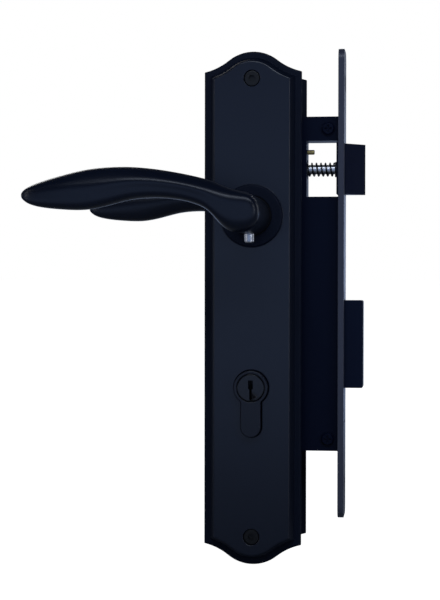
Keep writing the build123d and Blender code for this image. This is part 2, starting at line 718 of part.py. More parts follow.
# Latch bolt, bevelled towards the front, with a flange that stops it behind the forend
LATCH_TIP = BACKSET + LATCH_OUT
LEG_FACE = ARM_TIP[0] - NOSE_R - GAP
ROD_END = LEG_FACE - CARRIER_L - NUT_T - ROD_PAST
with BuildPart() as latch_bolt:
    with BuildSketch(Plane.XY.offset(LATCH_Z - LATCH_H / 2)):
        with BuildLine():
            Polyline((FLANGE_BACK, -LATCH_T / 2), (BACKSET + LATCH_CHEEK, -LATCH_T / 2),
                     (LATCH_TIP, LATCH_T / 2 - LATCH_NOSE), (LATCH_TIP, LATCH_T / 2),
                     (FLANGE_BACK, LATCH_T / 2), close=True)
        make_face()
    extrude(amount=LATCH_H)
    tip = latch_bolt.faces().sort_by(Axis.X)[-1]
    fillet(tip.edges().filter_by(Axis.Z), LATCH_ROUND)
    with BuildSketch(Plane.YZ.offset(FLANGE_BACK)):
        with Locations((0, LATCH_Z)):
            Rectangle(LATCH_T, LATCH_H + 2 * FLANGE_OVER)
    extrude(amount=FLANGE_T)
    low = latch_bolt.edges().filter_by(Axis.Y).group_by(Axis.Z)[0].sort_by(Axis.X)[0]
    chamfer(low, FLANGE_CUT)
    with BuildSketch(Plane.YZ.offset(FLANGE_BACK)):
        with Locations((0, LATCH_Z)):
            Circle(ROD_R + SEAT)
    extrude(amount=ROD_IN + GAP, mode=Mode.SUBTRACT)
keep(latch_bolt, "latch_bolt")


# Latch rod, with the washer that the spring bears on and the nut that holds the carrier
with BuildPart() as latch_rod:
    with BuildSketch(Plane.YZ.offset(ROD_END)):
        with Locations((0, LATCH_Z)):
            Circle(ROD_R)
    extrude(amount=FLANGE_BACK + ROD_IN - ROD_END)
    chamfer(latch_rod.faces().sort_by(Axis.X)[0].edges(), ROD_R / 5)
keep(latch_rod, "latch_rod")

with BuildPart() as latch_washer:
    with BuildSketch(Plane.YZ.offset(FLANGE_BACK)):
        with Locations((0, LATCH_Z)):
            Circle(WASHER_R)
            Circle(ROD_R + SEAT, mode=Mode.SUBTRACT)
    extrude(amount=-WASHER_T)
keep(latch_washer, "latch_washer")

with BuildPart() as latch_nut:
    with BuildSketch(Plane.YZ.offset(LEG_FACE - CARRIER_L)):
        with Locations((0, LATCH_Z)):
            RegularPolygon(NUT_AF / 2, 6, major_radius=False)
            Circle(ROD_R + SEAT, mode=Mode.SUBTRACT)
    extrude(amount=-NUT_T)
keep(latch_nut, "latch_nut")


# Carrier on the rod, whose leg the follower's arm pushes
with BuildPart() as latch_carrier:
    with BuildSketch(Plane.YZ.offset(LEG_FACE)):
        with Locations((0, CARRIER_BOTTOM)):
            Rectangle(ARM_T, CARRIER_TOP - CARRIER_BOTTOM, align=(Align.CENTER, Align.MIN))
        with Locations((0, LATCH_Z)):
            Circle(ROD_R + SEAT, mode=Mode.SUBTRACT)
    extrude(amount=-CARRIER_L)
    fillet(latch_carrier.edges().filter_by(Axis.X).group_by(Axis.Z)[-1], CARRIER_L / 4)
keep(latch_carrier, "latch_carrier")


# Bracket that guides the rod and seats the spring
with BuildPart() as rod_bracket:
    with BuildSketch(Plane.YZ.offset(BRACKET_X)):
        with Locations((0, LATCH_Z)):
            Rectangle(2 * INSIDE, BRACKET_H)
            Circle(ROD_R + RUN, mode=Mode.SUBTRACT)
    extrude(amount=-BRACKET_T)
    with BuildSketch(facing(INSIDE)):
        with Locations((BRACKET_X, LATCH_Z)):
            Rectangle(BRACKET_FOOT, BRACKET_H, align=(Align.MAX, Align.CENTER))
    extrude(amount=BRACKET_T)
keep(rod_bracket, "rod_bracket")


# Pin in the window's back wall that stops the latch when it is drawn right in
with BuildPart() as latch_stop_pin:
    with BuildSketch(Plane.YZ.offset(WINDOW_BACK - SHEET)):
        with Locations((0, LATCH_Z + STOP_PIN_UP)):
            Circle(STOP_PIN_R)
    extrude(amount=FLANGE_BACK - LATCH_TRAVEL - 2 * GAP - WINDOW_BACK + SHEET)
    chamfer(latch_stop_pin.faces().sort_by(Axis.X)[-1].edges(), STOP_PIN_R / 4)
keep(latch_stop_pin, "latch_stop_pin")


# Latch spring, one round wire wound round the rod between the bracket and the latch
def biarc(start, start_way, end, end_way):
    """Two arcs that leave start along start_way and reach end along end_way"""
    gap = end - start
    both = start_way + end_way
    spread = 2 * (1 - start_way.dot(end_way))
    along = gap.dot(both)
    arm = (sqrt(along ** 2 + spread * gap.dot(gap)) - along) / spread
    joint = (start + end + (start_way - end_way) * arm) * 0.5
    first = TangentArc(start, joint, tangent=start_way)
    TangentArc(joint, end, tangent=first % 1)


def coil_path(axis_start, length, radius, wire, turns):
    """Way of a compression spring's wire along +x, with both ends square to what they meet"""
    pitch = (length - 2 * wire - 2 * COIL_LEAD) / turns
    slope = pitch / (2 * pi * radius)
    ahead = Vector(1, 0, 0)

    def on_coil(turn):
        angle = 2 * pi * turn
        climb = wire + COIL_LEAD + pitch * turn
        place = axis_start + Vector(climb, radius * cos(angle), radius * sin(angle))
        way = Vector(slope, -sin(angle), cos(angle)).normalized()
        return place, way

    quarter = 0.25
    lead_in = axis_start + Vector(0, radius * cos(-2 * pi * quarter), radius * sin(-2 * pi * quarter))
    lead_out = axis_start + Vector(length, radius * cos(2 * pi * (turns + quarter)),
                                   radius * sin(2 * pi * (turns + quarter)))
    nodes = [(lead_in + ahead * wire, ahead)]
    nodes += [on_coil(i / 2) for i in range(int(2 * turns) + 1)]
    nodes += [(lead_out - ahead * wire, ahead)]
    with BuildLine() as way:
        Line(lead_in, nodes[0][0])
        for (start, start_way), (end, end_way) in zip(nodes, nodes[1:]):
            biarc(start, start_way, end, end_way)
        Line(nodes[-1][0], lead_out)
    return way.wire()


SPRING_L = FLANGE_BACK - WASHER_T - BRACKET_X
COIL_WAY = coil_path(Vector(BRACKET_X, 0, LATCH_Z), SPRING_L, SPRING_R, SPRING_WIRE, SPRING_TURNS)
with BuildPart() as latch_spring:
    with BuildLine():
        add(COIL_WAY)
    with BuildSketch(Plane(origin=COIL_WAY @ 0, z_dir=(1, 0, 0))):
        RegularPolygon(SPRING_WIRE / 2, WIRE_SIDES)
    sweep()
keep(latch_spring, "latch_spring")


def least_gap(way, wire, apart):
    """Smallest gap between two stretches of one wire, measured on points along its way"""
    count = int(way.length / (wire / 2))
    points = [way @ (i / count) for i in range(count + 1)]
    skip = int(apart / way.length * count)
    pairs = ((points[i], points[j]) for i in range(count + 1) for j in range(i + skip, count + 1))
    return min((there - here).length for here, there in pairs) - wire


SPRING_FREE = least_gap(COIL_WAY, SPRING_WIRE, pi * SPRING_R)
print("latch_spring least gap to itself, mm:", round(SPRING_FREE, 3))


# Deadbolt with its tail riveted in its back
BOLT_TIP = BACKSET + BOLT_OUT
BOLT_BACK = BOLT_TIP - BOLT_L
BOLT_RIVETS = [(BOLT_BACK + TAIL_IN / 2, BOLT_Z + BOLT_H / 4), (BOLT_BACK + TAIL_IN / 2, BOLT_Z)]
with BuildPart() as deadbolt:
    with BuildSketch(facing(BOLT_T / 2)):
        with Locations((BOLT_TIP, BOLT_Z)):
            Rectangle(BOLT_L, BOLT_H, align=(Align.MAX, Align.CENTER))
        with Locations(*BOLT_RIVETS):
            Circle(BOLT_RIVET_R + SEAT, mode=Mode.SUBTRACT)
    extrude(amount=BOLT_T)
    fillet(deadbolt.faces().sort_by(Axis.X)[-1].edges(), BOLT_ROUND)
    with BuildSketch(facing(TAIL_T / 2 + SEAT)):
        with Locations((BOLT_BACK, TAIL_TOP + SEAT)):
            Rectangle(TAIL_IN + SEAT, TAIL_TOP - TAIL_BOTTOM + 2 * SEAT, align=(Align.MIN, Align.MAX))
    extrude(amount=TAIL_T + 2 * SEAT, mode=Mode.SUBTRACT)
keep(deadbolt, "deadbolt")

with BuildPart() as bolt_tail:
    with BuildSketch(facing(TAIL_T / 2)):
        with Locations((TAIL_BACK, TAIL_TOP)):
            Rectangle(BOLT_BACK + TAIL_IN - TAIL_BACK, TAIL_TOP - TAIL_BOTTOM, align=(Align.MIN, Align.MAX))
        with Locations((GUIDE_X, GUIDE_Z)):
            SlotCenterToCenter(2 * THROW, 2 * (GUIDE_R + GAP), mode=Mode.SUBTRACT)
        with Locations((0, TAIL_BOTTOM), (THROW, TAIL_BOTTOM)):
            Rectangle(NOTCH_W, NOTCH_D, align=(Align.CENTER, Align.MIN), mode=Mode.SUBTRACT)
        with Locations(*BOLT_RIVETS):
            Circle(BOLT_RIVET_R + SEAT, mode=Mode.SUBTRACT)
        with Locations((-THROW, TAIL_TOP), (0, TAIL_TOP), (THROW, TAIL_TOP)):
            Circle(LEAF_T, mode=Mode.SUBTRACT)
    extrude(amount=TAIL_T)
    fillet(bolt_tail.edges().filter_by(Axis.Y).group_by(Axis.X)[0], TAIL_ROUND)
keep(bolt_tail, "bolt_tail")

with BuildPart() as bolt_rivets:
    with BuildSketch(facing(BOLT_T / 2)):
        with Locations(*BOLT_RIVETS):
            Circle(BOLT_RIVET_R)
    extrude(amount=BOLT_T)
keep(bolt_rivets, "bolt_rivets")


# Guide stud on the tray's floor, with a waist that the tail slides on
with BuildPart() as bolt_guide_stud:
    with BuildSketch(facing(INSIDE)):
        with Locations((GUIDE_X, GUIDE_Z)):
            Circle(GUIDE_COLLAR_R)
    extrude(amount=INSIDE - TAIL_T / 2 - GAP)
    with BuildSketch(facing(TAIL_T / 2 + GAP)):
        with Locations((GUIDE_X, GUIDE_Z)):
            Circle(GUIDE_R)
    extrude(amount=INSIDE + TAIL_T / 2 + GAP)
keep(bolt_guide_stud, "bolt_guide_stud")


# Leaf spring that rides on the tail's top edge and clicks into its notches
with BuildPart() as bolt_leaf_spring:
    with BuildSketch(facing(LEAF_W / 2)):
        with BuildLine() as leaf:
            hook = CenterArc(POSTS[3], POST_R + SEAT + LEAF_T / 2, 200, LEAF_HOOK - 200)
            Polyline(hook @ 1, (-CLICK_L, TAIL_TOP + CLICK_H), (0, TAIL_TOP + GAP + LEAF_T / 2),
                     (CLICK_L, TAIL_TOP + CLICK_H), (LEAF_END, TAIL_TOP + LEAF_UP))
        trace(leaf.line, line_width=LEAF_T)
    extrude(amount=LEAF_W)
keep(bolt_leaf_spring, "bolt_leaf_spring")


# Profile cylinder body, bored for a plug at each side and cut in the middle for the cam
PLUG_ROOM = PLUG_END + RING_T + 2 * GAP     # from the middle to where the bores begin
with BuildPart() as cylinder_body:
    with BuildSketch(facing(CYL_L / 2)):
        add(euro_face(0))
    extrude(amount=CYL_L)
    with BuildSketch(facing(CYL_L / 2)):
        with Locations((0, -CENTRES)):
            Circle(PLUG_R + RUN)
    extrude(amount=CYL_L, mode=Mode.SUBTRACT)
    with BuildSketch(facing(PLUG_ROOM)):
        with Locations((0, -CENTRES)):
            Circle(CAM_R + CAM_ROOM)
    extrude(amount=2 * PLUG_ROOM, mode=Mode.SUBTRACT)
    with BuildSketch(Plane.YZ.offset(-CYL_R)):
        with Locations((0, FIX_SCREW_Z)):
            Circle(FIX_SCREW_R + SEAT)
    extrude(amount=2 * CYL_R, mode=Mode.SUBTRACT)
keep(cylinder_body, "cylinder_body")


# Key plug with its keyway, and the ring that holds it in the body
with BuildPart() as front_plug:
    with BuildSketch(facing(-PLUG_END)):
        with Locations((0, -CENTRES)):
            Circle(PLUG_R)
    extrude(amount=CYL_L / 2 - PLUG_END)
    with BuildSketch(facing(-PLUG_END - GAP)):
        with Locations((0, -CENTRES)):
            Circle(PLUG_R)
            Circle(PLUG_R - RING_GROOVE, mode=Mode.SUBTRACT)
    extrude(amount=RING_T + SEAT, mode=Mode.SUBTRACT)
    with BuildSketch(facing(-CYL_L / 2)):
        with Locations((0, -CENTRES + KEYWAY_STEP)):
            Rectangle(KEYWAY_W, KEYWAY_UP - KEYWAY_STEP, align=(Align.CENTER, Align.MIN))
            Rectangle(KEYWAY_SLIT, KEYWAY_STEP - KEYWAY_DOWN, align=(Align.CENTER, Align.MAX))
    extrude(amount=-KEYWAY_D, mode=Mode.SUBTRACT)
keep(front_plug, "front_plug")
keep_rear(front_plug, "rear_plug")

with BuildPart() as front_ring:
    with BuildSketch(facing(-PLUG_END - GAP)):
        with Locations((0, -CENTRES)):
            Circle(RING_R)
            Circle(PLUG_R - RING_GROOVE + SEAT, mode=Mode.SUBTRACT)
            Rectangle(RING_MOUTH, RING_R, align=(Align.CENTER, Align.MAX), mode=Mode.SUBTRACT)
    extrude(amount=RING_T)
keep(front_ring, "front_plug_ring")
keep_rear(front_ring, "rear_plug_ring")


# Cam that the key turns, and the clutch inside it
with BuildPart() as cam:
    with BuildSketch(facing(CAM_T / 2)):
        with Locations((0, -CENTRES)):
            Circle(CAM_RING_R)
        with Locations(Location((0, -CENTRES), 180 - CAM_PARK)):
            Rectangle(CAM_TOOTH_W, CAM_R, align=(Align.CENTER, Align.MIN))
    extrude(amount=CAM_T)
    with BuildSketch(facing(CAM_T / 2)):
        with Locations((0, -CENTRES)):
            Circle(CAM_R)
    extrude(amount=CAM_T, mode=Mode.INTERSECT)
    with BuildSketch(facing(CAM_T / 2)):
        with Locations((0, -CENTRES)):
            Circle(CLUTCH_R + SEAT)
    extrude(amount=CAM_T, mode=Mode.SUBTRACT)
keep(cam, "cam")

with BuildPart() as clutch:
    with BuildSketch(facing(-PLUG_END)):
        with Locations((0, -CENTRES)):
            Circle(CLUTCH_R)
            Rectangle(KEYWAY_SLIT, 2 * CLUTCH_R, mode=Mode.SUBTRACT)
            Circle(CLUTCH_R / 2)
    extrude(amount=-(2 * PLUG_END - CLUTCH_SHORT))
keep(clutch, "cam_clutch")


# Screw through the forend that fixes the cylinder
with BuildPart() as cylinder_screw:
    with BuildSketch(Plane.YZ.offset(BACKSET)):
        with Locations((0, FIX_SCREW_Z)):
            Circle(FIX_SCREW_R)
    extrude(amount=-(BACKSET + FIX_SCREW_IN))
    with BuildSketch(Plane.YZ.offset(BACKSET)):
        with Locations((0, FIX_SCREW_Z)):
            Circle(FIX_SCREW_HEAD_R)
    extrude(amount=-(FIX_SCREW_HEAD_R - FIX_SCREW_R), taper=SINK_ANGLE / 2)
    with BuildSketch(Plane.YZ.offset(BACKSET)):
        with Locations((0, FIX_SCREW_Z)):
            Rectangle(2 * FIX_SCREW_HEAD_R, SLOT_W)
    extrude(amount=-SLOT_D, mode=Mode.SUBTRACT)
keep(cylinder_screw, "cylinder_screw")
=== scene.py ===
import json
import math
import bmesh
import bpy
from mathutils import Matrix, Vector

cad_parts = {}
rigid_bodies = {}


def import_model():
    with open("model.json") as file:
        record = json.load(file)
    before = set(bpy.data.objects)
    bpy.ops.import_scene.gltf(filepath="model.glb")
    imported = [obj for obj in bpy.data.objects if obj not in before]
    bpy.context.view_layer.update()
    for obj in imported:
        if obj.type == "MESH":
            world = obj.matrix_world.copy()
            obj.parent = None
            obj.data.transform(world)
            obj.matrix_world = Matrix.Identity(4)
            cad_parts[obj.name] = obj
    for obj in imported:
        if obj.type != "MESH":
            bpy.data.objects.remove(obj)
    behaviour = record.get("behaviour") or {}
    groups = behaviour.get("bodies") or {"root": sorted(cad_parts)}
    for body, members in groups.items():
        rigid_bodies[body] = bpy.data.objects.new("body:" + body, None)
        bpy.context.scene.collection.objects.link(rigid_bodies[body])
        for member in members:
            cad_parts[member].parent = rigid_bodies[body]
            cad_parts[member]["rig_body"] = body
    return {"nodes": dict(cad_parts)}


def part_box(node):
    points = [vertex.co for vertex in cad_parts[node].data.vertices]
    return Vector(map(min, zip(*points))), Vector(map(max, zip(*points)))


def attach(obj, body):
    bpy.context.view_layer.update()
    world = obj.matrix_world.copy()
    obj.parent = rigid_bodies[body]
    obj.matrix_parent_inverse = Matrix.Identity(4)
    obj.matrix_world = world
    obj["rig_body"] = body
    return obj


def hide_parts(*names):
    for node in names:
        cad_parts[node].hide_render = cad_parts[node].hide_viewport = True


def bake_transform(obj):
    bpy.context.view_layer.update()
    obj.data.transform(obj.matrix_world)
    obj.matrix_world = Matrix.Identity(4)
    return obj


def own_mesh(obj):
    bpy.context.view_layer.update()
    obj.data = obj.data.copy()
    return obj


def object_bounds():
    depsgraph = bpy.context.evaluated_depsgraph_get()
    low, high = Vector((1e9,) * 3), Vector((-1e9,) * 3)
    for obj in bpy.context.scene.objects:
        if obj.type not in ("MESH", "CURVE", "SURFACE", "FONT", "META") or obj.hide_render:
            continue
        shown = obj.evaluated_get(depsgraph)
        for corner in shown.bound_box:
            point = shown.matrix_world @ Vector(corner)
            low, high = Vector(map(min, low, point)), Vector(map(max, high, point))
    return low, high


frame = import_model()
cad_box = [list(corner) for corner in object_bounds()]


# Backplates: two hollow castings with an ogee at each end, a raised panel and a boss for the lever.
# They are zinc alloy, coated in a satin bluish black that is duller on the rim, and the plate
# screws draw them together through the door.
MM = 0.001              # sizes are in mm
MERGE_WITHIN = 0.001    # nearer points are the same point
ON_END = 0.01           # nearer points lie on a piece's end
RIM_TURN = 1.0          # least turn between the faces at a rim, in radians
ROUNDING_STEPS = 2
CLOUD_SCALE = 38
CLOUD_ROUGH = 0.07
GRAIN_SCALE = 1500
GRAIN_ROUGH = 0.03
COAT_IOR = 1.45
DULLER = 0.3            # how much rougher the plate's rim is


class Amount:
    """A number that varies over a surface, which sums and products turn into Math nodes"""

    def __init__(self, finish, socket):
        self.finish, self.socket = finish, socket

    def maths(self, operation, first, second):
        values = [v.socket if isinstance(v, Amount) else v for v in (first, second)]
        return self.finish.node("ShaderNodeMath", {"operation": operation}, dict(enumerate(values)))

    def __add__(self, other):
        return self.maths("ADD", self, other)

    def __mul__(self, other):
        return self.maths("MULTIPLY", self, other)

    __radd__, __rmul__ = __add__, __mul__


class Finish:
    """The nodes of one material, or of the sky"""

    def __init__(self, name, kind=bpy.data.materials):
        self.owner = kind.new(name)
        self.owner.use_nodes = True
        self.tree = self.owner.node_tree
        self.tree.nodes.clear()

    def node(self, kind, settings=None, inputs=None, output=0):
        made = self.tree.nodes.new(kind)
        for name, value in (settings or {}).items():
            if name == "stops":
                for place, (position, colour) in enumerate(value):
                    stops = made.color_ramp.elements
                    stop = stops[place] if place < 2 else stops.new(position)
                    stop.position, stop.color = position, colour
            else:
                setattr(made, name, value)
        for name, value in (inputs or {}).items():
            socket = made.inputs[name]
            value = value.socket if isinstance(value, Amount) else value
            if isinstance(value, bpy.types.NodeSocket):
                self.tree.links.new(value, socket)
            else:
                socket.default_value = value
        return Amount(self, made.outputs[output]) if made.outputs else made

    def place(self, stretch):
        where = self.node("ShaderNodeTexCoord", output="Object")
        return self.node("ShaderNodeMapping", None, {"Vector": where, "Scale": stretch})

    def speckle(self, scale, detail, stretch=(1, 1, 1)):
        return self.node("ShaderNodeTexNoise", None,
                         {"Vector": self.place(stretch), "Scale": scale, "Detail": detail})

    def tints(self, amount, dark, light):
        return self.node("ShaderNodeMix", {"data_type": "RGBA"},
                         {0: amount, 6: (*dark, 1), 7: (*light, 1)}, output=2)

    def bump(self, height, distance):
        return self.node("ShaderNodeBump", None,
                         {"Height": height, "Distance": distance, "Strength": 1.0})

    def shader(self, **inputs):
        names = {name.replace("_", " ").title().replace("Ior", "IOR"): value
                 for name, value in inputs.items()}
        return self.node("ShaderNodeBsdfPrincipled", None, names)

    def surface(self, **inputs):
        return self.done(self.shader(**inputs))

    def done(self, shader):
        self.node("ShaderNodeOutputMaterial", None, {"Surface": shader})
        return self.owner


def satin_coat(name, dark, light, rough, peel=0.000006, gloss=0.5, rim_gloss=None):
    """Satin powder coat: faint clouds, the fine peel of baked powder, and a dull rim if asked"""
    finish = Finish(name)
    cloud = finish.speckle(CLOUD_SCALE, 2)
    grain = finish.speckle(GRAIN_SCALE, 2)
    looks = dict(base_color=finish.tints(cloud, dark, light),
                 roughness=cloud * CLOUD_ROUGH + (rough - CLOUD_ROUGH / 2) + grain * GRAIN_ROUGH,
                 normal=finish.bump(grain, peel), ior=COAT_IOR)
    coat = finish.shader(specular_ior_level=gloss, **looks)
    if rim_gloss is not None:
        where = finish.node("ShaderNodeTexCoord", output="Object")
        across = finish.node("ShaderNodeSeparateXYZ", None, {"Vector": where}, output="Y")
        height = finish.node("ShaderNodeMath", {"operation": "ABSOLUTE"}, {0: across})
        panel = finish.node("ShaderNodeMath", {"operation": "COMPARE"},
                            {0: height, 1: PANEL_AT * MM, 2: PANEL_BAND * MM})
        looks["roughness"] = looks["roughness"] + DULLER
        dull = finish.shader(specular_ior_level=rim_gloss, **looks)
        coat = finish.node("ShaderNodeMixShader", None, {0: panel, 1: dull, 2: coat})
    return finish.done(coat)


def dressed(node, material, edge=0.25, sharp=32, flats=0.6, rim=0, clear=0, centres=(), cuts=()):
    """Finished copy of a piece, in its place, with its triangles joined and its edges rounded"""
    source = frame["nodes"][node]
    mesh = bpy.data.meshes.new(node + "_finished")
    shape = bmesh.new()
    shape.from_mesh(source.data)
    bmesh.ops.remove_doubles(shape, verts=shape.verts, dist=MERGE_WITHIN * MM)
    if flats:
        bmesh.ops.dissolve_limit(shape, angle_limit=math.radians(flats), verts=shape.verts,
                                 edges=shape.edges)
    if rim:
        ends = [pick(point.co.y for point in shape.verts) for pick in (min, max)]
        chosen = []
        for border in shape.edges:
            middle = (border.verts[0].co + border.verts[1].co) / 2
            on_end = any(all(abs(point.co.y - end) < ON_END * MM for point in border.verts)
                         for end in ends)
            away = all(math.hypot(middle.x, middle.z - up * MM) > clear * MM for up in centres)
            if on_end and away and border.calc_face_angle(0) > RIM_TURN:
                chosen.append(border)
        bmesh.ops.bevel(shape, geom=chosen, offset=rim * MM, offset_type="OFFSET", affect="EDGES",
                        segments=ROUNDING_STEPS, profile=0.5, material=-1, clamp_overlap=False)
    for cut in cuts:
        bmesh.ops.bisect_plane(shape, geom=shape.verts[:] + shape.edges[:] + shape.faces[:],
                               plane_co=(cut, 0, 0), plane_no=(1, 0, 0))
    shape.to_mesh(mesh)
    shape.free()
    mesh.materials.clear()
    mesh.materials.append(material)
    mesh.shade_smooth()
    mesh.set_sharp_from_angle(angle=math.radians(sharp))
    piece = bpy.data.objects.new(node + "_finished", mesh)
    bpy.context.scene.collection.objects.link(piece)
    if edge:
        round_off = piece.modifiers.new("edges", "BEVEL")
        round_off.width = edge * MM
        round_off.segments = ROUNDING_STEPS
        round_off.limit_method = "ANGLE"
        round_off.angle_limit = math.radians(sharp)
    if edge or rim:
        flatten = piece.modifiers.new("flats", "WEIGHTED_NORMAL")
        flatten.keep_sharp = True
    if not cuts:
        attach(piece, source["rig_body"])
    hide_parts(node)
    return piece


PANEL_AT = 26.15        # from the door's middle
PANEL_BAND = 0.42       # the rim, walls and boss lie outside this band, and are duller
FINE_PEEL = 0.000002
PLATE_COAT = satin_coat("plate_coat", (0.0018, 0.0042, 0.0125), (0.0026, 0.0056, 0.0160),
                        rough=0.28, peel=FINE_PEEL, rim_gloss=0.16)
for side in ("front", "rear"):
    dressed(side + "_backplate", PLATE_COAT, edge=0.45, sharp=24)


# Plate screws and sleeve nuts: black machine screws with hexagon sockets, and nuts they turn into.
# They pass through the door leaf, and their heads sit in round recesses of the plates.
STEEL_DARK = (1, 1, 1.15)
STEEL_WORN = (2.4, 2.4, 2.6)
WEAR_SCALE = 420
WEAR_ROUGH = 0.16
WEAR_DEPTH = 0.000008


def dark_steel(name, tone, rough):
    """Blackened steel, a little worn"""
    finish = Finish(name)
    wear = finish.speckle(WEAR_SCALE, 4)
    return finish.surface(
        base_color=finish.tints(wear, [tone * part for part in STEEL_DARK],
                                [tone * part for part in STEEL_WORN]),
        roughness=wear * WEAR_ROUGH + rough, metallic=0.3, normal=finish.bump(wear, WEAR_DEPTH))


SCREW_BLACK = dark_steel("screw_black", 0.0012, 0.36)
SCREW_CENTRES = (68.0, -159.4)
SOCKET_CLEAR = 2.6      # the hexagon's edges lie within this radius, and stay as they are
for node in ("plate_screws", "sleeve_nuts"):
    dressed(node, SCREW_BLACK, edge=0, rim=0.6, clear=SOCKET_CLEAR, centres=SCREW_CENTRES)


# Lever bushes: turned black nylon rings, pressed into the plates.
# Each lever's neck turns in one.
NYLON_LOOK = Finish("bush_nylon")
NYLON_GRAIN = NYLON_LOOK.speckle(900, 3)
NYLON = NYLON_LOOK.surface(
    base_color=NYLON_LOOK.tints(NYLON_GRAIN, (0.002, 0.0024, 0.0035), (0.0045, 0.005, 0.0065)),
    roughness=NYLON_GRAIN * 0.1 + 0.5, specular_ior_level=0.12)
for side in ("front", "rear"):
    dressed(side + "_lever_bush", NYLON, edge=0)


# Levers: one zinc casting each, a round neck bent into a crested, leaf-shaped handle.
# The neck keeps the frame's turned shape, and the blade grows out of it in one smooth skin.
HALF_DOOR = 17.5
NECK_R = 9.5
NECK_TOP = 48.0         # from the door to where the blade's skin starts
BLADE_OUT = 62.0        # from the door to the middle of the blade
BEND = 5.0              # radius inside the bend
OUTER_BEND = 4.2        # radius of the rim outside the bend
ROOT_HALF = 7.0         # half the blade's thickness at the bend
PIVOT_OUT = BLADE_OUT - ROOT_HALF - BEND        # from the door to the bend's pivot
SKIN_SIDES = 24
SWELL = 6 / (4 + 2 * math.cos(2 * math.pi / SKIN_SIDES))    # makes up for what subdivision draws in
# Distance from the spindle, height of the middle, half the height, half the thickness, and the
# share of the crest
BLADE_SIZES = [
    (0.0, 0.0, 9.5, 7.0, 0.0),
    (3.5, 0.75, 10.25, 7.0, 0.1),
    (9.0, 4.0, 9.0, 7.0, 0.4),
    (15.5, 8.2, 6.8, 7.0, 0.9),
    (24.0, 11.0, 6.1, 6.8, 1.0),
    (38.0, 13.1, 6.5, 6.6, 1.0),
    (51.0, 13.3, 7.55, 6.5, 1.0),
    (62.0, 11.8, 8.9, 6.3, 1.0),
    (72.0, 10.4, 9.35, 5.9, 0.9),
    (83.0, 9.3, 8.0, 5.2, 0.7),
    (93.0, 8.4, 6.1, 4.1, 0.5),
    (99.3, 8.0, 4.1, 2.9, 0.3),
    (102.3, 8.0, 2.05, 1.6, 0.2),
    (103.2, 8.0, 0.65, 0.6, 0.1),
]
# Corners of the plain and the crested form, in half thicknesses outward and half heights up
ROUND = [(0.0, -1.0), (0.83, -0.85), (1.0, 0.0), (0.83, 0.85),
         (0.0, 1.0), (-0.83, 0.85), (-1.0, 0.0), (-0.83, -0.85)]
CREST = [(0.0, -1.0), (0.78, -0.84), (0.94, -0.28), (0.95, 0.30),
         (0.22, 1.0), (-0.55, 0.78), (-0.98, 0.05), (-0.7, -0.75)]
# Rings of the skin: headings round the bend in degrees, then distances from the spindle
HEADINGS = [0, 14, 26, 32.5, 36, 39.5, 43, 47, 56, 68, 79]
REACHES = [14.5, 18, 24, 31, 38, 44.5, 51, 56.5, 62, 67, 72, 77.5, 83, 88, 93, 96.3, 99.3, 101.3,
           102.5, 103.2]


def curve_value(before, low, high, after, share):
    """Smooth value between two neighbours"""
    bow = before - 2.5 * low + 2 * high - after / 2
    twist = 1.5 * (low - high) + (after - before) / 2
    return low + share * ((high - before) / 2 + share * (bow + share * twist))


def blade_size(reach, which):
    """One of the blade's sizes at a distance from the spindle"""
    last = len(BLADE_SIZES) - 1
    low = max(i for i in range(last) if BLADE_SIZES[i][0] <= reach or i == 0)
    first, second = BLADE_SIZES[low], BLADE_SIZES[low + 1]
    width = second[0] - first[0]
    share = (reach - first[0]) / width

    def slope(i):
        back, ahead = BLADE_SIZES[max(i - 1, 0)], BLADE_SIZES[min(i + 1, last)]
        return (ahead[which] - back[which]) / (ahead[0] - back[0]) * width

    rise = second[which] - first[which]
    start, end = slope(low), slope(low + 1)
    return first[which] + share * (
        start + share * (3 * rise - 2 * start - end + share * (start + end - 2 * rise)))


def blade_form(line, crest):
    """Outward and upward share of one line of the skin"""
    corners = [[(1 - crest) * plain + crest * sharp for plain, sharp in zip(*pair)]
               for pair in zip(ROUND, CREST)]
    per = SKIN_SIDES / len(corners)
    low = int(line // per)
    near = [corners[(low + step) % len(corners)] for step in (-1, 0, 1, 2)]
    return [curve_value(*(corner[i] for corner in near), line / per - low) for i in (0, 1)]


def bend_distance(side, front, heading):
    """How far from the bend's pivot a rounded corner lies in one direction"""
    along, across = math.cos(heading), math.sin(heading)
    rim = min(OUTER_BEND + (BEND - OUTER_BEND) * (side < 2 * BEND), side, front)
    if across * side <= along * (front - rim):
        return side / along
    if along * front <= across * (side - rim):
        return front / across
    ahead = along * (side - rim) + across * (front - rim)
    return ahead + math.sqrt(max(ahead ** 2 - (side - rim) ** 2 - (front - rim) ** 2 + rim ** 2, 0))


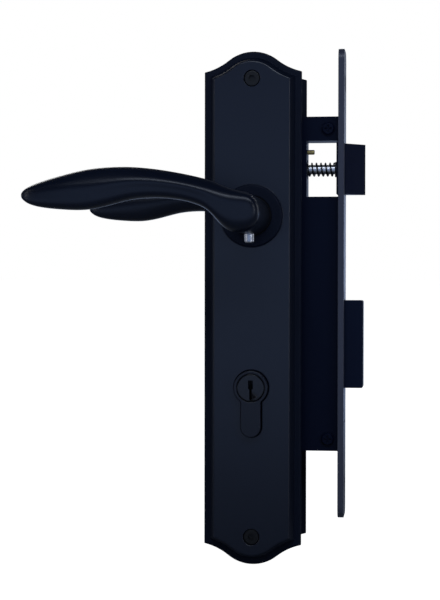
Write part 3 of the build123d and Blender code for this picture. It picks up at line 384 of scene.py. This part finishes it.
def skin_point(line, ring):
    """Place of one point of the front lever's skin, in mm"""
    turn = 2 * math.pi * line / SKIN_SIDES - math.pi / 2
    across, up = math.cos(turn), math.sin(turn)
    if ring == 0:
        return NECK_R * SWELL * across, -HALF_DOOR - NECK_TOP, NECK_R * SWELL * up
    ring -= 1
    if ring < len(HEADINGS):
        heading = math.radians(HEADINGS[ring])
        form = blade_form(line, blade_size(REACHES[0], 4))
        side = NECK_R + BEND + NECK_R * SWELL * across
        front = ROOT_HALF + BEND + ROOT_HALF * SWELL * form[0]
        far = bend_distance(side, front, heading)
        reach = NECK_R + BEND - far * math.cos(heading)
        out = PIVOT_OUT + far * math.sin(heading)
        blend = (1 - math.cos(2 * heading)) / 2
        ease = min(max(reach, 0) / REACHES[0], 1)
        height = blade_size(max(reach, 0), 1) + blade_size(max(reach, 0), 2) * SWELL * (
            (1 - ease) * up + ease * form[1])
        return -reach, -HALF_DOOR - out, (1 - blend) * NECK_R * SWELL * up + blend * height
    reach = REACHES[ring - len(HEADINGS)]
    form = blade_form(line, blade_size(reach, 4))
    return (-reach, -HALF_DOOR - BLADE_OUT - blade_size(reach, 3) * SWELL * form[0],
            blade_size(reach, 1) + blade_size(reach, 2) * SWELL * form[1])


def lever_blade(side):
    """Skin of one blade: a tube drawn straight, then laid along the bend and the leaf"""
    shape = bmesh.new()
    bmesh.ops.create_circle(shape, segments=SKIN_SIDES, radius=1)
    bmesh.ops.spin(shape, geom=shape.verts[:] + shape.edges[:], axis=(0, 0, 1), cent=(0, 0, 0),
                   dvec=(0, 0, 1), angle=0, steps=len(HEADINGS) + len(REACHES))
    for point in shape.verts:
        turn = math.atan2(point.co.y, point.co.x) + math.pi / 2
        line = round(turn / (2 * math.pi) * SKIN_SIDES) % SKIN_SIDES
        point.co = Vector(skin_point(line, round(point.co.z))) * MM
    crease = shape.edges.layers.float.new("crease_edge")
    for edge in shape.edges:
        if edge.is_boundary and edge.verts[0].co.x > -2 * NECK_R * MM:
            edge[crease] = 1.0
            edge.smooth = False
    bmesh.ops.holes_fill(shape, edges=[edge for edge in shape.edges if edge.is_boundary])
    if side == "rear":
        bmesh.ops.scale(shape, vec=(1, -1, 1), verts=shape.verts)
    bmesh.ops.recalc_face_normals(shape, faces=shape.faces)
    mesh = bpy.data.meshes.new(side + "_blade")
    shape.to_mesh(mesh)
    shape.free()
    for face in mesh.polygons:
        face.use_smooth = True
    mesh.materials.append(CASTING)
    blade = bpy.data.objects.new(side + "_blade", mesh)
    bpy.context.scene.collection.objects.link(blade)
    smooth = blade.modifiers.new("skin", "SUBSURF")
    smooth.levels = smooth.render_levels = 2
    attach(blade, "levers")
    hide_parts(side + "_lever")


CASTING = satin_coat("casting_coat", (0.0014, 0.0036, 0.0110), (0.0020, 0.0048, 0.0140),
                     rough=0.28, peel=FINE_PEEL, gloss=0.36)
for side, way in (("front", -1), ("rear", 1)):
    neck = dressed(side + "_lever", CASTING, edge=0, sharp=30, flats=0)
    neck.name = neck.data.name = side + "_neck"
    shape = bmesh.new()
    shape.from_mesh(neck.data)
    bmesh.ops.bisect_plane(shape, geom=shape.verts[:] + shape.edges[:] + shape.faces[:],
                           plane_co=(0, way * (HALF_DOOR + NECK_TOP) * MM, 0), plane_no=(0, way, 0),
                           clear_outer=True)
    closed = bmesh.ops.holes_fill(shape, edges=[edge for edge in shape.edges if edge.is_boundary])
    for face in closed["faces"]:
        face.smooth = False
        for border in face.edges:
            border.smooth = False
    shape.to_mesh(neck.data)
    shape.free()
    lever_blade(side)


# Spindle, grub screws, return collars, springs and circlips, of zinc-plated and blackened steel.
# The grub screws hold the levers on the spindle, and each collar winds a flat spiral spring whose
# outer hook stays in the plate.
ZINC_DARK = (1, 1, 1.02)
ZINC_LIGHT = (1.25, 1.25, 1.27)
BRUSH_SCALE = 700
BRUSH_ROUGH = 0.18
BRUSH_DEPTH = 0.000004
PLATING_SCALE = 60


def zinc_plate(name, tone, stretch=(1, 1, 1)):
    """Zinc plate, brushed along an axis where the stretch is small"""
    finish = Finish(name)
    lines = finish.speckle(BRUSH_SCALE, 4, stretch)
    cloud = finish.speckle(PLATING_SCALE, 2)
    return finish.surface(
        base_color=finish.tints(cloud, [tone * part for part in ZINC_DARK],
                                [tone * part for part in ZINC_LIGHT]),
        metallic=1.0, roughness=lines * BRUSH_ROUGH + 0.24, normal=finish.bump(lines, BRUSH_DEPTH))


ZINC = zinc_plate("zinc_plate", 0.52)
BLACK_STEEL = dark_steel("black_steel", 0.005, 0.30)
HOOK_L = 1.6
SPIRAL_GAP = 0.25       # between the return spring's coil and its anchor
WIND_STEPS = 6
for side in ("front", "rear"):
    dressed(side + "_grub_screw", ZINC, edge=0.1)
    dressed(side + "_return_collar", ZINC, edge=0.1)
    hook_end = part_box(side + "_return_spring")[1]
    anchor = hook_end.x - HOOK_L * MM
    cuts = [anchor - SPIRAL_GAP * MM * share / WIND_STEPS for share in range(WIND_STEPS + 1)]
    spiral = dressed(side + "_return_spring", BLACK_STEEL, edge=0, cuts=cuts)
    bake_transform(spiral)
    dressed(side + "_circlip", BLACK_STEEL, edge=0.05)
dressed("spindle", ZINC, edge=0.2)


# Lock case: a folded sheet-steel tray with a flat cover, coated a dark blue.
# Plated posts keep the two apart, and small screws hold the cover.
CASE = satin_coat("case_coat", (0.0006, 0.0026, 0.0130), (0.0010, 0.0036, 0.0165), rough=0.42,
                  gloss=0.12)
dressed("case_tray", CASE, edge=0.2)
dressed("case_cover", CASE, edge=0.15)
dressed("cover_screws", CASE, edge=0.1)
dressed("case_posts", ZINC, edge=0.1)


# Forend: the strip of coated steel that shows on the door's edge.
# It is riveted to the case, and two countersunk holes take wood screws.
# Its coat, also on the rivets and the cylinder screw, is painted far lighter than the other dark
# coats. That lightness is painted sheen, standing in for the light its face reflects.
FOREND_SHEEN_COAT = satin_coat("forend_sheen_coat", (0.0370, 0.0400, 0.0600), (0.0470, 0.0500, 0.0730), rough=0.36)
dressed("forend", FOREND_SHEEN_COAT, edge=0.3)
dressed("forend_rivets", FOREND_SHEEN_COAT, edge=0.05)


# Follower: a dull hub of sintered steel with a square hole, on the spindle.
# Its arm draws the latch in.
POWDER_DEPTH = 0.00001
SINTERED_LOOK = Finish("sintered_steel")
POWDER = SINTERED_LOOK.speckle(1400, 5)
SINTERED = SINTERED_LOOK.surface(
    base_color=SINTERED_LOOK.tints(POWDER, (0.16, 0.16, 0.165), (0.26, 0.26, 0.265)),
    metallic=0.9, roughness=POWDER * 0.2 + 0.42, normal=SINTERED_LOOK.bump(POWDER, POWDER_DEPTH))
dressed("follower", SINTERED, edge=0.2)


# Latch: a bevelled steel bolt, coated dark, on a plated rod that a bracket guides.
# The follower's arm pushes the carrier on the rod's end, and a brass pin stops the latch.
ZINC_ROD = zinc_plate("zinc_rod", 0.60, (0.08, 1, 1))
BOLT = satin_coat("bolt_coat", (0.0012, 0.0040, 0.0170), (0.0018, 0.0052, 0.0210), rough=0.34,
                  gloss=0.14)
BRASS_PIN = Finish("brass_pin")
BRASS_GRAIN = BRASS_PIN.speckle(800, 3)
BRASS = BRASS_PIN.surface(
    base_color=BRASS_PIN.tints(BRASS_GRAIN, (0.40, 0.31, 0.11), (0.58, 0.46, 0.20)),
    metallic=1.0, roughness=BRASS_GRAIN * 0.1 + 0.26)
dressed("latch_bolt", BOLT, edge=0.2)
dressed("latch_rod", ZINC_ROD, edge=0)
dressed("latch_washer", BLACK_STEEL, edge=0.1)
for node in ("latch_nut", "latch_carrier", "rod_bracket"):
    dressed(node, ZINC, edge=0.15)
dressed("latch_stop_pin", BRASS, edge=0.1)


# Latch spring: one round black wire, coiled between the bracket and the latch's washer.
# It shortens along its axis when the latch is drawn in.
COIL_R = 3.2
WIRE_R = 0.4
WIRE_SIDES = 12
COIL_TURNS = 6.5
COIL_STEPS = 24         # a turn
END_TURN = 0.8          # of a turn, wound close at either end
END_RISE = 1.6
SPRING_START = 21.0
SPRING_END = 39.95
LATCH_Z = 24.3
coil = bmesh.new()
wire = bmesh.ops.create_circle(coil, cap_ends=False, segments=WIRE_SIDES,
                               radius=WIRE_R * MM)["verts"]
bmesh.ops.rotate(coil, verts=wire, cent=(0, 0, 0), matrix=Matrix.Rotation(math.pi / 2, 3, "X"))
bmesh.ops.translate(coil, verts=wire,
                    vec=((SPRING_START + WIRE_R) * MM, 0, (LATCH_Z + COIL_R) * MM))
bmesh.ops.rotate(coil, verts=wire, cent=(0, 0, LATCH_Z * MM),
                 matrix=Matrix.Rotation(-math.pi / 2 - 2 * math.pi * END_TURN, 3, "X"))
drawn = coil.verts[:] + coil.edges[:]
middle_rise = SPRING_END - SPRING_START - 2 * (END_RISE + WIRE_R)
for turns, rise in ((END_TURN, END_RISE), (COIL_TURNS, middle_rise), (END_TURN, END_RISE)):
    steps = round(turns * COIL_STEPS)
    drawn = bmesh.ops.spin(coil, geom=drawn, cent=(0, 0, LATCH_Z * MM), axis=(1, 0, 0),
                           angle=2 * math.pi * turns, dvec=(rise / steps * MM, 0, 0),
                           steps=steps)["geom_last"]
bmesh.ops.holes_fill(coil, edges=[edge for edge in coil.edges if edge.is_boundary])
bmesh.ops.recalc_face_normals(coil, faces=coil.faces)
coil_mesh = bpy.data.meshes.new("latch_coil")
coil.to_mesh(coil_mesh)
coil.free()
for face in coil_mesh.polygons:
    face.use_smooth = len(face.vertices) == 4
coil_mesh.materials.append(BLACK_STEEL)
latch_coil = bpy.data.objects.new("latch_coil", coil_mesh)
bpy.context.scene.collection.objects.link(latch_coil)
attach(latch_coil, "lock_frame")
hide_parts("latch_spring")
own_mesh(latch_coil)


# Deadbolt: a solid steel bolt, coated dark, with a plated tail riveted into its back.
# A leaf spring clicks into the tail's notches and a stud guides its slot.
dressed("deadbolt", BOLT, edge=0.2)
for node in ("bolt_tail", "bolt_guide_stud"):
    dressed(node, ZINC, edge=0.15)
dressed("bolt_rivets", BOLT, edge=0)
dressed("bolt_leaf_spring", BLACK_STEEL, edge=0.1)


# Profile cylinder: a coated brass body, with a glossier plug at each side and a cam between them.
# A long screw through the forend holds it in the case.
CYLINDER = satin_coat("cylinder_coat", (0.0016, 0.0032, 0.0095), (0.0022, 0.0042, 0.0120),
                      rough=0.34)
PLUG = satin_coat("plug_coat", (0.0012, 0.0014, 0.0030), (0.0018, 0.0020, 0.0040), rough=0.22)
dressed("cylinder_body", CYLINDER, edge=0, rim=0.6)
PLUG_Z = -85.0
KEYWAY_CLEAR = 5.0      # the keyway's edges lie within this radius, and stay sharp
for side in ("front", "rear"):
    dressed(side + "_plug", PLUG, edge=0, rim=0.7, clear=KEYWAY_CLEAR, centres=(PLUG_Z,))
    dressed(side + "_plug_ring", BLACK_STEEL, edge=0.05)
dressed("cam", SINTERED, edge=0.2)
dressed("cam_clutch", BRASS, edge=0.1)
dressed("cylinder_screw", FOREND_SHEEN_COAT, edge=0.1)


# Studio: a sheet of white paper under a white sky, which the camera sees as plain white.
# What they cast on the object is dim from close by and from its sides, and bright from far in front
# and behind. Soft boxes and two narrow strips stand round it.
FLOOR_GAP = 0.5
FLOOR_R = 30.0
FLOOR_SIDES = 64
PAPER = Finish("floor_white")
PAPER_SEEN = PAPER.node("ShaderNodeLightPath", output="Is Camera Ray")
PAPER_WHERE = PAPER.node("ShaderNodeTexCoord", output="Object")
PAPER_ACROSS = PAPER.node("ShaderNodeSeparateXYZ", None, {"Vector": PAPER_WHERE}, output="Y")
PAPER_AWAY = PAPER.node("ShaderNodeMath", {"operation": "ABSOLUTE"}, {0: PAPER_ACROSS})
NEAR_GLOW = (0.40, (0.02, 0.03, 0.05, 1))       # metres from the door's middle, and colour
FAR_GLOW = (0.95, (0.34, 0.46, 0.76, 1))
PAPER_GLOW = PAPER.node("ShaderNodeValToRGB", {"stops": [NEAR_GLOW, FAR_GLOW]}, {0: PAPER_AWAY})
WHITE_PAPER = PAPER.surface(
    base_color=PAPER.tints(PAPER.speckle(3, 2), (0.22, 0.22, 0.22), (0.26, 0.26, 0.26)),
    roughness=0.9, emission_strength=1.0,
    emission_color=PAPER.node("ShaderNodeMix", {"data_type": "RGBA"},
                              {0: PAPER_SEEN, 6: PAPER_GLOW, 7: (1, 1, 1, 1)}, output=2))
paper = bmesh.new()
bmesh.ops.create_circle(paper, cap_ends=True, segments=FLOOR_SIDES, radius=FLOOR_R,
                        matrix=Matrix.Translation((0, 0, cad_box[0][2] - FLOOR_GAP * MM)))
floor_mesh = bpy.data.meshes.new("floor")
paper.to_mesh(floor_mesh)
paper.free()
floor_mesh.materials.append(WHITE_PAPER)
floor = bpy.data.objects.new("floor", floor_mesh)
bpy.context.scene.collection.objects.link(floor)


def soft_box(name, way, distance, size, radiance, colour=(1, 1, 1)):
    """Area light that faces the object from one direction, at a distance in metres"""
    light = bpy.data.lights.new(name, "AREA")
    light.shape, light.size, light.size_y = "RECTANGLE", *size
    light.energy, light.color = radiance * math.pi * size[0] * size[1], colour
    lamp = bpy.data.objects.new(name, light)
    lamp.location = Vector(way).normalized() * distance
    lamp.rotation_euler = (-Vector(way)).to_track_quat("-Z", "Y").to_euler()
    bpy.context.scene.collection.objects.link(lamp)


COOL = (0.85, 0.9, 1.0)
soft_box("top_box", (0.15, -0.75, 0.65), 1.4, (1.3, 0.35), 5.0, (0.72, 0.82, 1.0))
soft_box("left_box", (-0.97, 0.10, 0.22), 1.5, (0.5, 0.9), 0.9, COOL)
soft_box("right_box", (0.90, 0.43, 0.10), 1.5, (0.7, 1.0), 1.1, COOL)
soft_box("rear_high_box", (0.25, 0.85, 0.50), 1.5, (0.9, 0.3), 2.5, COOL)
soft_box("front_left_strip", (-0.80, -0.60, 0.1), 1.4, (0.12, 0.9), 3.0)
soft_box("front_right_strip", (0.77, -0.64, 0.0), 1.4, (0.10, 0.9), 8.0, COOL)
soft_box("rear_right_box", (0.14, 0.99, 0.02), 1.6, (0.2, 0.9), 0.6)
soft_box("rear_box", (-0.45, 0.75, 0.65), 1.6, (0.6, 0.5), 4.0)

SKY_FALL = -0.56        # how much the sky's light falls with height
SKY = Finish("white_sky", bpy.data.worlds)
SKY_WAY = SKY.node("ShaderNodeTexCoord", output="Generated")
SKY_ACROSS = SKY.node("ShaderNodeSeparateXYZ", None, {"Vector": SKY_WAY}, output="Y")
SKY_UP = SKY.node("ShaderNodeSeparateXYZ", None, {"Vector": SKY_WAY}, output="Z")
SKY_FACING = SKY.node("ShaderNodeMath", {"operation": "ABSOLUTE"}, {0: SKY_ACROSS})
SIDE_SKY = (0.88, (0.035, 0.04, 0.05, 1))
END_SKY = (0.995, (0.66, 0.90, 1.48, 1))
SKY_GLOW = SKY.node("ShaderNodeValToRGB", {"stops": [SIDE_SKY, END_SKY]},
                    {0: SKY_FACING + SKY_UP * SKY_FALL})
SKY_CAST = SKY.node("ShaderNodeBackground", None, {"Color": SKY_GLOW})
SKY_WHITE = SKY.node("ShaderNodeBackground", None, {"Color": (1, 1, 1, 1)})
SKY_SEEN = SKY.node("ShaderNodeLightPath", output="Is Camera Ray")
SKY_BOTH = SKY.node("ShaderNodeMixShader", None, {0: SKY_SEEN, 1: SKY_CAST, 2: SKY_WHITE})
SKY.node("ShaderNodeOutputWorld", None, {"Surface": SKY_BOTH})
bpy.context.scene.world = SKY.owner
bpy.context.scene.view_settings.view_transform = "Standard"


# Camera: where the photograph's was, as fitted to the corners of the plate, forend, bolts and
# cylinder. Its lens is the fitted one, for a sensor of the usual width.
CAMERA_AT = Vector((79.57, -807.42, -28.42)) * MM
CAMERA_AHEAD = Vector((-0.12096, 0.99251, -0.01683))
CAMERA_UP = Vector((-0.00320, 0.01656, 0.99986))
LENS = 95.19
SENSOR = 36.0
view = bpy.data.cameras.new("camera")
view.lens, view.sensor_width = LENS, SENSOR
camera = bpy.data.objects.new("camera", view)
right = CAMERA_AHEAD.cross(CAMERA_UP).normalized()
up = right.cross(CAMERA_AHEAD).normalized()
turn = Matrix((right, up, -CAMERA_AHEAD.normalized())).transposed().to_4x4()
camera.matrix_world = Matrix.Translation(CAMERA_AT) @ turn
bpy.context.scene.collection.objects.link(camera)
bpy.context.scene.camera = camera
